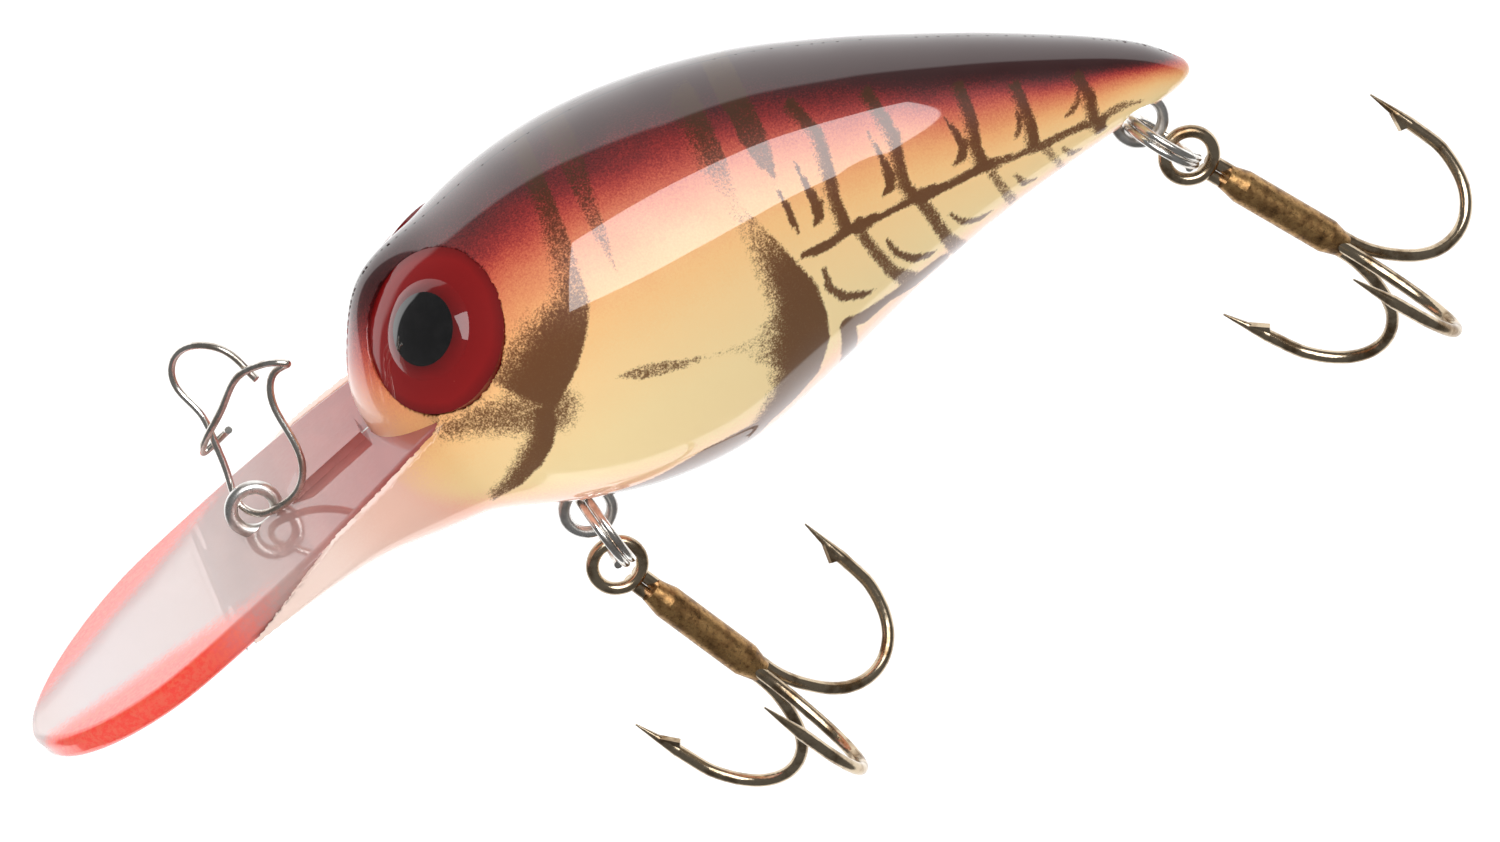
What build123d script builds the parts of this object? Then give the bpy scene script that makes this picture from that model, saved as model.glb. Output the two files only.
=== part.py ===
from build123d import *
import math
import os

os.makedirs("parts", exist_ok=True)

# Crankbait lure in millimetres. X runs to the tail, Z up over the back, Y to the right side.
# The origin is the centre of the line-tie eye, in the middle plane of the lure.

# Hollow body
BODY_LENGTH = 50.1
BODY_PITCH = 18.1
NOSE = (5.5, 0, 6.65)
WALL = 1.3
# Cross sections along the body: station, top, bottom, half width
SECTIONS = [
    (0.25, 1.0, -2.5, 1.8),
    (1.0, 2.6, -4.2, 3.6),
    (3.0, 4.95, -6.5, 6.0),
    (6.0, 7.25, -8.7, 8.2),
    (10.0, 9.3, -10.3, 9.4),
    (15.0, 10.7, -11.1, 9.8),
    (20.0, 11.1, -10.7, 9.2),
    (26.0, 10.6, -8.4, 7.8),
    (32.0, 9.1, -5.65, 6.2),
    (38.0, 7.05, -3.4, 4.7),
    (44.0, 4.6, -1.7, 3.2),
    (48.0, 2.55, -0.75, 2.0),
    (49.5, 1.3, -0.2, 1.15),
]
NOSE_HEIGHT = -0.75
TAIL_HEIGHT = 0.42
CAVITY_STATIONS = (3.0, 40.0)

# Diving lip
LIP_SLOPE = 40.9
LIP_ROOT = (6.2, 0, 4.17)
LIP_THICKNESS = 1.6
# Half outline from the body to the tip: distance from the root, half width
LIP_OUTLINE = [(-4.8, 6.9), (-2.5, 7.4), (0, 8.0), (3, 8.6), (8, 9.1), (13, 9.1), (16.5, 8.8), (20, 7.4), (23, 5.0)]
LIP_TIP = 25.2
# Half outline of the chin fairing in the same measures, from its end in the belly
FAIRING_OUTLINE = [(-6.0, 5.6), (-4.5, 6.8), (-2.0, 7.5), (0, 8.0), (3, 8.6), (8, 9.1), (14, 9.1)]
TANG_LENGTH = 5.5
TANG_HALF_WIDTH = 4.5
RIB_WIDTH = 2.2
RIB_HEIGHT = 0.55

# Line-tie eye
TIE_RADIUS = 1.285
TIE_WIRE = 0.78
TIE_GAP = 46.0

# Snap
SNAP_WIRE = 0.42
SNAP_LEAN = 14.2
SNAP_TWIST = 40.0

# Hook hangers
HANGER_WIRE = 0.68
HANGER_RADIUS = 1.37
ANCHOR_RADIUS = 0.95
BELLY_EYE = (18.85, 0, -1.35)
BELLY_ANCHOR = (18.85, 0, 1.75)
TAIL_EYE = (50.2, 0, 19.64)
TAIL_ANCHOR = (47.03, 0, 20.96)
POCKET_PLAY = 0.03
RELIEF_RADIUS = 1.4

# Split rings
RING_RADIUS = 2.25
RING_WIRE = 0.46
RING_PITCH = 0.49
RING_TURNS = 1.9
BELLY_RING = (19.75, 0, -2.65)
BELLY_RING_SLOPE = 57.8
TAIL_RING = (51.5, 0, 18.2)
TAIL_RING_SLOPE = 33.4

# Treble hooks
HOOK_WIRE = 0.74
HOOK_EYE_RADIUS = 1.42
HOOK_SHANK_RADIUS = 0.44
BELLY_HOOK = (20.5, 0, -4.8)
BELLY_HOOK_SLOPE = 40.5
TAIL_HOOK = (53.08, 0, 17.32)
TAIL_HOOK_SLOPE = 33.4
POINT_LENGTH = 2.9
BRAZE_START = 2.5
BRAZE_END = 10.8

# Eyes
EYE_CENTRE = (8.96, 5.67, 11.94)
EYE_NORMAL = (-0.705, 0.624, 0.336)
EYE_RADIUS = 4.6
EYE_DOME = 9.8
EYE_CROWN = 0.35
EYE_BASE = -2.0
PUPIL_RADIUS = 2.05
BUMP_RADIUS = 2.8
BUMP_CROWN = 0.9
BUMP_DOME = 4.57
PUPIL_BASE = -0.6
EYE_PLAY = 0.03

# Rattles: station, height, half length of the channel
RATTLES = {"front": (22.0, 2.5, 7.2), "middle": (28.2, 2.6, 5.7), "rear": (34.0, 2.5, 4.2)}
BALL_RADIUS = 1.75
CHANNEL_RADIUS = 1.95
CHANNEL_WALL = 0.95

# Ballast
BALLAST_AT = (17.0, -6.4)
BALLAST_RADIUS = 3.0
BALLAST_HALF = 4.2

# Locating pins: station, height
PINS = [(14.0, 7.0), (24.5, -5.2), (38.6, 1.8)]
PIN_RADIUS = 0.8
PIN_LENGTH = 2.0

body_frame = Location(Plane(
    origin=NOSE,
    x_dir=(math.cos(math.radians(BODY_PITCH)), 0, math.sin(math.radians(BODY_PITCH))),
    z_dir=(-math.sin(math.radians(BODY_PITCH)), 0, math.cos(math.radians(BODY_PITCH))),
))
lip_frame = Location(Plane(
    origin=LIP_ROOT,
    x_dir=(-math.cos(math.radians(LIP_SLOPE)), 0, -math.sin(math.radians(LIP_SLOPE))),
    z_dir=(-math.sin(math.radians(LIP_SLOPE)), 0, math.cos(math.radians(LIP_SLOPE))),
))


def section_face(station, top, bottom, half_width):
    plane = Plane(origin=(station, 0, (top + bottom) / 2), x_dir=(0, 1, 0), z_dir=(1, 0, 0))
    return plane * Ellipse(half_width, (top - bottom) / 2)


def body_solid():
    faces = [section_face(*row) for row in SECTIONS]
    nose = Vertex(0, 0, NOSE_HEIGHT)
    tail = Vertex(BODY_LENGTH, 0, TAIL_HEIGHT)
    return body_frame * loft([nose, *faces, tail])


def cavity_solid():
    start, end = CAVITY_STATIONS
    faces = []
    for station, top, bottom, half_width in SECTIONS:
        if start <= station <= end:
            faces.append(section_face(station, top - WALL, bottom + WALL, half_width - WALL))
    return body_frame * loft(faces)


def cross_rod(radius, half_length, at, low=None):
    # Rod along Y, with its middle at a point of the middle plane
    low = -half_length if low is None else low
    rod = Rot(-90, 0, 0) * Cylinder(radius, half_length - low)
    return Pos(at[0], (half_length + low) / 2, at[2]) * rod


def at_station(station, height):
    place = body_frame * Pos(station, 0, height)
    return tuple(place.position)


def wire_rod(start, end, radius):
    return Solid.make_cylinder(radius, math.dist(start, end), Plane(start, z_dir=Vector(*end) - Vector(*start)))


def wire_ring(centre, mean_radius, radius):
    return Pos(*centre) * Rot(90, 0, 0) * Torus(mean_radius, radius)


def swept_wire(path, radius):
    profile = Plane(origin=path @ 0, z_dir=path % 0) * Circle(radius)
    return sweep(profile, path=path)


def hanger(eye, anchor, play=0.0):
    # Figure-eight wire: the outer eye, the double neck and the moulded-in anchor ring
    radius = HANGER_WIRE / 2 + play
    along = (Vector(*anchor) - Vector(*eye)).normalized()
    across = Vector(-along.Z, 0, along.X)
    shape = wire_ring(eye, HANGER_RADIUS, radius) + wire_ring(anchor, ANCHOR_RADIUS, radius)
    for side in (-1, 1):
        low = Vector(*eye) + along * (HANGER_RADIUS - 0.05) + across * side * 0.42
        high = Vector(*anchor) - along * (ANCHOR_RADIUS - 0.05) + across * side * 0.42
        shape = shape + wire_rod(tuple(low), tuple(high), radius)
    return shape


def line_tie():
    # One wire: a bar across the tang, a straight shank, and the eye bent up from it
    foot = lip_frame.inverse() * Pos(0, 0, 0)
    depth = foot.position.Z - TIE_RADIUS
    shank = Line((-3.6, depth), (foot.position.X, depth))
    loop = CenterArc((foot.position.X, foot.position.Z), TIE_RADIUS, -90, 360 - TIE_GAP)
    wire = swept_wire(Plane.XZ * Wire([shank, loop]), TIE_WIRE / 2)
    bar = Pos(-3.6, 0, depth) * Rot(90, 0, 0) * Cylinder(TIE_WIRE / 2 - 0.03, 3.2)
    return lip_frame * (wire + bar)


def lip_blank():
    near = LIP_OUTLINE
    far = [(p, -q) for p, q in reversed(LIP_OUTLINE)]
    edge = Spline(*near, (LIP_TIP, 0), *far)
    root = Line(far[-1], near[0])
    return make_face([edge, root])


def lip():
    blade = extrude(lip_blank(), -LIP_THICKNESS)
    tang = Pos(-TANG_LENGTH / 2, 0, -LIP_THICKNESS / 2) * Box(
        TANG_LENGTH, 2 * TANG_HALF_WIDTH, LIP_THICKNESS)
    rims = [e for e in blade.edges() if e.center().X > 1.0 and e.length > 5]
    blade = fillet(rims, 0.5)
    blade = blade - lip_frame.inverse() * body_solid()
    rib_side = Polyline((0, 0), (5.6, 0), (4.4, RIB_HEIGHT), (0, RIB_HEIGHT), close=True)
    rib = extrude(Plane.XZ * make_face(rib_side), RIB_WIDTH / 2, both=True)
    cut = lip_frame * (blade + tang + Pos(0, 0, -0.02) * rib) - line_tie()
    # the sliver of plastic inside the buried part of the eye is left out
    return max(cut.solids(), key=lambda piece: piece.volume)


def chin_fairing():
    # Wedge that carries the belly line forward under the lip
    slope = math.tan(math.radians(LIP_SLOPE))
    lip_under = LIP_ROOT[2] - LIP_THICKNESS / math.cos(math.radians(LIP_SLOPE)) - LIP_ROOT[0] * slope
    front = (-2.2, lip_under - 2.2 * slope)
    back = (10.0, lip_under + 10.0 * slope)
    lower = Spline(front, (0.8, -3.4), (3.5, -2.1), (6.5, -0.9), (10.5, -0.1), (14.5, 0.9))
    upper = Polyline((14.5, 0.9), back, front)
    side_view = Plane.XZ * make_face([lower, upper])
    wedge = extrude(side_view, 9.5, both=True)
    near = Spline(*FAIRING_OUTLINE)
    far = Spline(*[(p, -q) for p, q in FAIRING_OUTLINE])
    plan = make_face([near, Line(near @ 1, far @ 1), far, Line(far @ 0, near @ 0)])
    return wedge & (lip_frame * extrude(plan, -30))


def eye_frame(side):
    normal = Vector(EYE_NORMAL[0], side * EYE_NORMAL[1], EYE_NORMAL[2])
    return Location(Plane((EYE_CENTRE[0], side * EYE_CENTRE[1], EYE_CENTRE[2]), z_dir=normal))


def disc(radius, low, high):
    return Pos(0, 0, (low + high) / 2) * Cylinder(radius, high - low)


def eye_disc(side):
    dome = disc(EYE_RADIUS, EYE_BASE, 3) & Pos(0, 0, EYE_CROWN - EYE_DOME) * Sphere(EYE_DOME)
    bump = disc(BUMP_RADIUS, PUPIL_BASE, 3) & Pos(0, 0, BUMP_CROWN - BUMP_DOME) * Sphere(BUMP_DOME)
    recess = disc(PUPIL_RADIUS, PUPIL_BASE, 3)
    return eye_frame(side) * (dome + bump - recess)


def eye_pupil(side):
    body = disc(PUPIL_RADIUS, PUPIL_BASE, 3)
    return eye_frame(side) * (body & Pos(0, 0, BUMP_CROWN - BUMP_DOME) * Sphere(BUMP_DOME))


def shell_half(side, outer, cavity, fairing):
    # side is -1 for the left half and 1 for the right half
    half_space = Pos(20, side * 50, 10) * Box(200, 100, 200)
    half_outer = outer & half_space
    shell = half_outer - cavity
    bosses = []
    for station, height, half_length in RATTLES.values():
        bosses.append(cross_rod(CHANNEL_RADIUS + CHANNEL_WALL, 12, at_station(station, height)))
    bosses.append(cross_rod(BALLAST_RADIUS + 1.0, 12, at_station(*BALLAST_AT)))
    for station, height in PINS:
        bosses.append(cross_rod(PIN_RADIUS + 1.0, 12, at_station(station, height)))
    bosses.append(cross_rod(3.0, 3.5, BELLY_ANCHOR))
    bosses.append(eye_frame(side) * disc(EYE_RADIUS + 1.0, EYE_BASE - 1.1, EYE_BASE + 1.5))
    bosses.append(lip_frame * Pos(-2.6, 0, -LIP_THICKNESS / 2) * Box(
        7.6, 2 * TANG_HALF_WIDTH + 2, LIP_THICKNESS + 2.2))
    for boss in bosses:
        shell = shell + (boss & half_outer)
    shell = shell + (fairing & half_space)
    cuts = []
    for station, height, half_length in RATTLES.values():
        cuts.append(cross_rod(CHANNEL_RADIUS, half_length, at_station(station, height)))
    cuts.append(cross_rod(BALLAST_RADIUS + 0.02, BALLAST_HALF + 0.02, at_station(*BALLAST_AT)))
    cuts.append(eye_frame(side) * disc(EYE_RADIUS + EYE_PLAY, EYE_BASE, 6))
    cuts.append(lip_frame * Pos(-TANG_LENGTH / 2, 0, -LIP_THICKNESS / 2) * Box(
        TANG_LENGTH + 0.04, 2 * TANG_HALF_WIDTH + 0.04, LIP_THICKNESS + 0.04))
    cuts.append(lip_frame * Pos(10, 0, 10 - LIP_THICKNESS) * Box(20, 40, 20))
    for eye in (BELLY_EYE, TAIL_EYE):
        cuts.append(cross_rod(RELIEF_RADIUS, RING_RADIUS, eye))
    cuts.append(hanger(BELLY_EYE, BELLY_ANCHOR, POCKET_PLAY))
    cuts.append(hanger(TAIL_EYE, TAIL_ANCHOR, POCKET_PLAY))
    if side > 0:
        for station, height in PINS:
            cuts.append(cross_rod(PIN_RADIUS + 0.02, PIN_LENGTH + 0.1, at_station(station, height), -1))
    for cut in cuts:
        shell = shell - cut
    if side < 0:
        for station, height in PINS:
            shell = shell + cross_rod(PIN_RADIUS, PIN_LENGTH, at_station(station, height), -1)
    return shell


def snap():
    lean = math.radians(SNAP_LEAN)
    twist = math.radians(SNAP_TWIST)
    up = Vector(-math.sin(lean), 0, math.cos(lean))
    level = Vector(math.cos(lean), 0, math.sin(lean))
    across = level * math.cos(twist) + Vector(0, -1, 0) * math.sin(twist)
    front = across.cross(up)
    # across, up, toward the front of the snap
    route = [
        (-0.55, 4.65, -0.5), (-1.6, 3.95, -0.5), (-2.25, 3.55, 0.0), (-1.75, 4.25, 0.5),
        (0.1, 6.4, 0.42), (1.9, 8.45, 0.4), (3.3, 9.0, 0.36), (4.6, 9.15, 0.3),
        (5.0, 8.95, 0.0), (4.5, 8.65, -0.3), (3.6, 8.1, -0.3), (3.25, 7.0, -0.1),
        (3.7, 5.0, 0.0), (4.1, 2.8, 0.0), (3.3, 1.15, 0.0), (1.7, 0.1, 0.0),
        (0.0, -0.25, 0.0), (-0.85, 0.3, 0.0), (-1.08, 1.9, 0.0), (-1.32, 4.2, 0.0),
        (-1.75, 6.0, 0.0), (-2.85, 7.7, 0.0), (-2.55, 9.2, 0.0), (-1.2, 10.05, 0.0),
        (0.1, 10.1, 0.0), (1.1, 9.6, -0.2), (1.75, 8.6, -0.42), (2.35, 7.8, -0.42),
    ]
    points = [across * a + up * b + front * c for a, b, c in route]
    return swept_wire(Spline(*points), SNAP_WIRE / 2)


def split_ring(centre, slope):
    angle = math.radians(slope)
    along = Vector(math.cos(angle), 0, -math.sin(angle))
    normal = Vector(math.sin(angle), 0, math.cos(angle))
    height = RING_PITCH * RING_TURNS
    coil = Helix(RING_PITCH, height, RING_RADIUS, center=(0, 0, -height / 2))
    profile = Plane(origin=coil @ 0, z_dir=coil % 0) * Circle(RING_WIRE / 2)
    ring = sweep(profile, path=coil, is_frenet=True)
    return Location(Plane(origin=centre, x_dir=along, z_dir=normal)) * ring


def hook_route():
    # Outward distance from the shank axis, distance from the eye
    straight = Line((HOOK_SHANK_RADIUS, 1.1), (HOOK_SHANK_RADIUS, 10.9))
    bend = Spline(
        (HOOK_SHANK_RADIUS, 10.9), (1.1, 13.9), (2.5, 16.1), (4.6, 17.05), (6.8, 16.25),
        (8.05, 14.3), (8.42, 11.7), tangents=((0, 1), (0.1, -1)))
    return straight, bend


def one_hook(turn, start=1.1):
    # Hook in local axes: shank along Z, opening outward in the given turn about Z
    _, bend = hook_route()
    straight = Line((HOOK_SHANK_RADIUS, start), (HOOK_SHANK_RADIUS, 10.9))
    path = Wire([Plane.XZ * straight, Plane.XZ * bend])
    radius = HOOK_WIRE / 2
    hook = swept_wire(path, radius)
    tip = path @ 1
    heading = path % 1
    point = Solid.make_cone(radius, 0.05, POINT_LENGTH, Plane(origin=tip, z_dir=heading))
    barb_side = Polyline((8.35, 11.9), (8.5, 10.2), (7.72, 11.35), close=True)
    barb = extrude(Plane.XZ * make_face(barb_side), 0.17, both=True)
    return Rot(0, 0, turn) * (hook + point + barb)


def treble_frame(eye, slope):
    angle = math.radians(slope)
    along = (math.cos(angle), 0, -math.sin(angle))
    return Location(Plane(origin=eye, x_dir=(0, -1, 0), z_dir=along))


def double_hook():
    eye = Rot(0, 90, 0) * Torus(HOOK_EYE_RADIUS, HOOK_WIRE / 2)
    return eye + one_hook(120) + one_hook(-120)


def braze(wires):
    sleeve = Solid.make_cone(0.72, 0.98, 1.2, Plane((0, 0, BRAZE_START)))
    middle = Solid.make_cylinder(0.98, BRAZE_END - BRAZE_START - 2.4, Plane((0, 0, BRAZE_START + 1.2)))
    end = Solid.make_cone(0.98, 0.66, 1.2, Plane((0, 0, BRAZE_END - 1.2)))
    return sleeve + middle + end - wires


outer = body_solid()
cavity = cavity_solid()
fairing = chin_fairing()
nodes = {}
nodes["body_shell_left"] = shell_half(-1, outer, cavity, fairing)
nodes["body_shell_right"] = shell_half(1, outer, cavity, fairing)
nodes["diving_lip"] = lip()
nodes["line_tie_eye"] = line_tie()
nodes["snap"] = snap()
nodes["belly_hook_hanger"] = hanger(BELLY_EYE, BELLY_ANCHOR)
nodes["tail_hook_hanger"] = hanger(TAIL_EYE, TAIL_ANCHOR)
nodes["belly_split_ring"] = split_ring(BELLY_RING, BELLY_RING_SLOPE)
nodes["tail_split_ring"] = split_ring(TAIL_RING, TAIL_RING_SLOPE)
pair = double_hook()
single = one_hook(0, BRAZE_START + 0.4)
joint = braze(pair + single)
for name, eye, slope in (
    ("belly", BELLY_HOOK, BELLY_HOOK_SLOPE),
    ("tail", TAIL_HOOK, TAIL_HOOK_SLOPE),
):
    place = treble_frame(eye, slope)
    nodes[name + "_double_hook"] = place * pair
    nodes[name + "_single_hook"] = place * single
    nodes[name + "_hook_braze"] = place * joint
for name, side in (("left", -1), ("right", 1)):
    nodes["eye_disc_" + name] = eye_disc(side)
    nodes["eye_pupil_" + name] = eye_pupil(side)
for name, (station, height, half_length) in RATTLES.items():
    nodes["rattle_ball_" + name] = Pos(*at_station(station, height)) * Sphere(BALL_RADIUS)
nodes["ballast_weight"] = cross_rod(BALLAST_RADIUS, BALLAST_HALF, at_station(*BALLAST_AT))

for name, shape in nodes.items():
    export_step(shape, "parts/" + name + ".step")
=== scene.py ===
import math

import bpy
import numpy as np
from mathutils import Matrix, Vector


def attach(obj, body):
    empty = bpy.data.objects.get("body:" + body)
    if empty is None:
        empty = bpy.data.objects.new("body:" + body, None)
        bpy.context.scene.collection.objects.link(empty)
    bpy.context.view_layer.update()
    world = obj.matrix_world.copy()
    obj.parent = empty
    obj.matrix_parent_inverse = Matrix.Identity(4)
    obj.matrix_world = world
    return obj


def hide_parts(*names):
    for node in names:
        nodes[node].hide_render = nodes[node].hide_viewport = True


MM = 0.001

# ---------------------------------------------------------------- camera and floor
VIEW_AZIMUTH = math.radians(-11)
VIEW_ELEVATION = math.radians(20)
LENS = 250.0
SENSOR = 36.0
VIEW_WIDTH = 0.08333
AIM_RIGHT = 0.02756
AIM_UP = 0.00489
FLOOR_HEIGHT = -0.085

# ---------------------------------------------------------------- body shape, in millimetres
LENGTH = 50.1
PITCH = math.radians(18.1)
NOSE = np.array([5.5, 0.0, 6.65])
NOSE_HEIGHT = -0.75
TAIL_HEIGHT = 0.42
# station, top, bottom, half width
SECTIONS = [
    (0.25, 1.0, -2.5, 1.8),
    (1.0, 2.6, -4.2, 3.6),
    (3.0, 4.95, -6.5, 6.0),
    (6.0, 7.25, -8.7, 8.2),
    (10.0, 9.3, -10.3, 9.4),
    (15.0, 10.7, -11.1, 9.8),
    (20.0, 11.1, -10.7, 9.2),
    (26.0, 10.6, -8.4, 7.8),
    (32.0, 9.1, -5.65, 6.2),
    (38.0, 7.05, -3.4, 4.7),
    (44.0, 4.6, -1.7, 3.2),
    (48.0, 2.55, -0.75, 2.0),
    (49.5, 1.3, -0.2, 1.15),
]
WALL = 1.0
CAVITY_ENDS = (3.5, 44)
BROW = 1.6
BROW_PLACE = (3.2, 5.2)
BROW_HALF_WIDTH = 2.2
BROW_SPREAD = 12.0
LIP_ROOT = np.array([6.2, 0.0, 4.17])
LIP_SLOPE = math.radians(40.9)
LIP_THICKNESS = 1.6
# place along the lip, depth below the lip, and half width of the chin that carries it
CHIN_DEPTH = [(-6.5, 7.4), (-4.1, 6.3), (-0.5, 4.44), (3.1, 2.43), (6.2, 1.37), (9.0, 0.6), (12.5, 0.05)]
CHIN_WIDTH = [(-6.5, 6.6), (-4.5, 7.5), (-2.0, 8.3), (0, 8.9), (3, 9.4), (8, 9.55), (12.5, 9.2)]
LIP_EDGE = [(-6.5, 6.3), (-4.8, 6.9), (-2.5, 7.4), (0, 8.0), (3, 8.6), (8, 9.1), (12.5, 9.12)]
CHIN_BACK = -6.5
CHIN_FRONT = 12.5
CHIN_RISE = 1.5
CHIN_BLEND = 1.6
EYE_CENTRE = np.array([8.96, 5.67, 11.94])
EYE_NORMAL = np.array([-0.705, 0.624, 0.336]) / math.sqrt(0.705**2 + 0.624**2 + 0.336**2)
SOCKET_RADIUS = 4.57
SOCKET_DEPTH = -2.0
RELIEFS = [(18.85, -1.35), (50.2, 19.64)]
RELIEF_RADIUS = 1.4
RELIEF_HALF = 2.25
CELL = 0.2

# ---------------------------------------------------------------- airbrushed pattern, in side view
# Every stroke is (points as station and height, half width at each point).
BACK_EDGE = [(0, 3.6), (4.7, 6.2), (7.8, 7.8), (11, 8.9), (14.8, 9.7), (18.4, 9.9), (23.1, 9.7), (26.5, 9.1),
             (31.4, 7.7), (36.8, 5.7), (42.3, 3.8), (47.9, 2.0), (50.1, 1.2)]
# One-sided strokes: points, soft width at each point, strength at each point.
# The crisp side is toward the tail.
EYE_BAND = ([(13.9, 10.5), (13.9, 8.1), (13.8, 5.2), (13.6, 3.3), (12.8, 1.8), (11.7, 0.2), (9.9, -1.6)],
            [1.7, 1.9, 2.4, 3.6, 4.8, 5.8, 6.2], [0.8, 0.76, 0.66, 0.8, 0.95, 1.0, 1.0])
EYE_LOBE = ([(9.9, -1.6), (9.7, -2.6), (9.2, -3.8), (8.2, -5.1), (6.9, -6.1), (5.3, -6.5)],
            [2.4, 2.4, 2.4, 2.4, 2.0, 1.4], [1.0, 1.0, 0.98, 0.95, 0.9, 0.7])
FRONT_ZONE = ([(23.4, 10.5), (23.5, 7.5), (23.3, 5.4), (24.0, 3.8), (25.1, 1.1), (25.8, -0.7), (25.9, -2.9),
               (25.7, -4.6), (24.6, -6.8), (22.8, -8.0), (20.7, -8.9)],
              [2.6, 2.4, 1.6, 2.2, 3.4, 4.6, 6.0, 6.6, 5.6, 3.6, 2.0],
              [0.8, 0.75, 0.3, 0.5, 0.95, 1.0, 1.0, 1.0, 1.0, 1.0, 0.9])
PLATE_EDGES = [
    [(28.2, 8.6), (29.1, 6.7), (28.95, 4.8), (28.7, 3.2), (28.8, 1.3)],
    [(32.5, 7.4), (33.1, 4.8), (32.8, 3.4), (32.7, 2.2), (33.1, 1.2)],
    [(37.5, 5.6), (37.5, 3.7), (37.2, 2.3), (37.3, 1.0)],
    [(40.5, 4.4), (40.6, 2.3), (40.4, 0.8)],
    [(44.0, 3.4), (44.3, 2.0), (44.15, 0.7), (44.4, -0.2)],
]
# Two-sided strokes: points, half width at each point, softness, strength.
MARKS = [
    ([(4.0, -1.2), (6.5, -1.2), (9.6, -1.5)], [0.6, 1.2, 1.7], 1.8, 0.72),
    ([(15.6, 10.5), (15.5, 8.6), (15.5, 6.5), (15.6, 4.4)], [0.8, 0.6, 0.4, 0.05], 0.3, 0.62),
    ([(13.7, -0.95), (15.0, -1.25), (16.6, -1.6), (18.2, -1.9)], [0.12, 0.45, 0.4, 0.15], 0.22, 0.66),
    ([(17.5, -1.75), (19.5, -2.1), (21.8, -2.6)], [0.2, 0.2, 0.6], 0.5, 0.36),
    ([(25.1, 10.4), (25.3, 8.0), (25.45, 6.6), (25.6, 5.6)], [0.85, 0.75, 0.55, 0.1], 0.15, 0.8),
    ([(25.45, 5.3), (25.65, 4.0), (25.75, 3.0), (25.8, 2.3)], [0.06, 0.22, 0.24, 0.06], 0.12, 0.95),
    ([(26.9, 6.1), (27.1, 4.6), (27.3, 3.4), (27.15, 2.7), (26.8, 2.4)],
     [0.05, 0.18, 0.36, 0.36, 0.12], 0.16, 0.95),
    ([(31.4, 5.6), (31.6, 4.2), (31.7, 3.0), (31.5, 2.4), (30.9, 2.1)],
     [0.05, 0.18, 0.32, 0.3, 0.08], 0.16, 0.95),
    ([(35.7, 4.6), (36.0, 3.6), (36.2, 2.7), (35.9, 2.1), (35.2, 1.9)],
     [0.05, 0.2, 0.32, 0.3, 0.08], 0.16, 0.9),
    ([(39.7, 3.5), (39.7, 2.6), (39.4, 2.0), (39.0, 1.7)], [0.05, 0.17, 0.2, 0.06], 0.14, 0.85),
    ([(43.4, 2.7), (43.2, 2.1), (42.7, 1.75), (42.2, 1.6)], [0.05, 0.2, 0.2, 0.06], 0.14, 0.8),
    ([(25.6, 1.05), (26.8, 1.0), (28.6, 1.2), (29.2, 1.2)], [0.2, 0.3, 0.3, 0.45], 0.12, 1.0),
    ([(29.2, 1.2), (30.6, 1.1), (32.2, 1.15), (33.1, 1.1)], [0.45, 0.24, 0.26, 0.5], 0.16, 1.0),
    ([(33.1, 1.1), (34.8, 0.95), (36.2, 1.0), (37.2, 1.0)], [0.5, 0.26, 0.26, 0.42], 0.16, 1.0),
    ([(37.2, 1.0), (38.8, 0.75), (40.5, 0.6), (42.2, 0.65), (44.3, 0.4)],
     [0.42, 0.22, 0.32, 0.26, 0.36], 0.2, 0.85),
    ([(29.0, 1.0), (29.6, -0.9), (30.2, -2.6), (31.2, -4.0)], [0.35, 0.36, 0.4, 0.6], 0.34, 0.85),
    ([(32.9, 0.9), (33.3, -0.5), (33.7, -2.2), (34.3, -3.6)], [0.4, 0.4, 0.4, 0.6], 0.32, 0.85),
    ([(37.2, 0.6), (37.6, -0.8), (38.0, -2.2)], [0.3, 0.3, 0.4], 0.34, 0.7),
    ([(40.6, 0.3), (41.1, -1.0), (41.5, -2.2)], [0.3, 0.28, 0.3], 0.34, 0.6),
    ([(26.5, -0.2), (26.4, -1.4), (27.1, -2.5), (28.2, -3.0), (29.0, -3.1)],
     [0.14, 0.24, 0.32, 0.26, 0.05], 0.16, 0.9),
    ([(30.4, -0.4), (30.7, -1.5), (31.6, -2.5), (32.4, -2.8), (33.0, -2.8)],
     [0.14, 0.24, 0.3, 0.24, 0.05], 0.16, 0.9),
    ([(34.3, -0.8), (34.9, -1.8), (35.8, -2.2), (36.8, -2.1)], [0.12, 0.24, 0.24, 0.05], 0.16, 0.85),
    ([(38.5, -0.4), (38.9, -1.3), (39.7, -1.5)], [0.12, 0.26, 0.08], 0.16, 0.8),
    ([(41.5, -0.2), (42.0, -0.9), (42.7, -1.0)], [0.12, 0.26, 0.08], 0.16, 0.75),
    ([(44.4, 0.5), (45.5, 0.65), (46.8, 0.3)], [0.3, 0.28, 0.1], 0.2, 0.7),
    ([(26.75, -4.4), (27.9, -4.6), (29.6, -4.3), (31.3, -4.3), (33.2, -3.9)],
     [0.4, 0.5, 0.32, 0.5, 0.5], 0.2, 1.0),
    ([(26.9, -4.4), (26.7, -6.2), (26.4, -8.0)], [0.5, 0.55, 0.6], 0.2, 1.0),
    ([(11.6, -9.7), (14.0, -9.75), (17.2, -9.2), (20.0, -8.75), (21.4, -8.2)],
     [0.4, 0.75, 1.1, 0.85, 0.2], 0.22, 0.95),
    ([(12.4, -12.5), (13.6, -9.9)], [0.1, 0.5], 0.3, 0.6),
]

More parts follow.
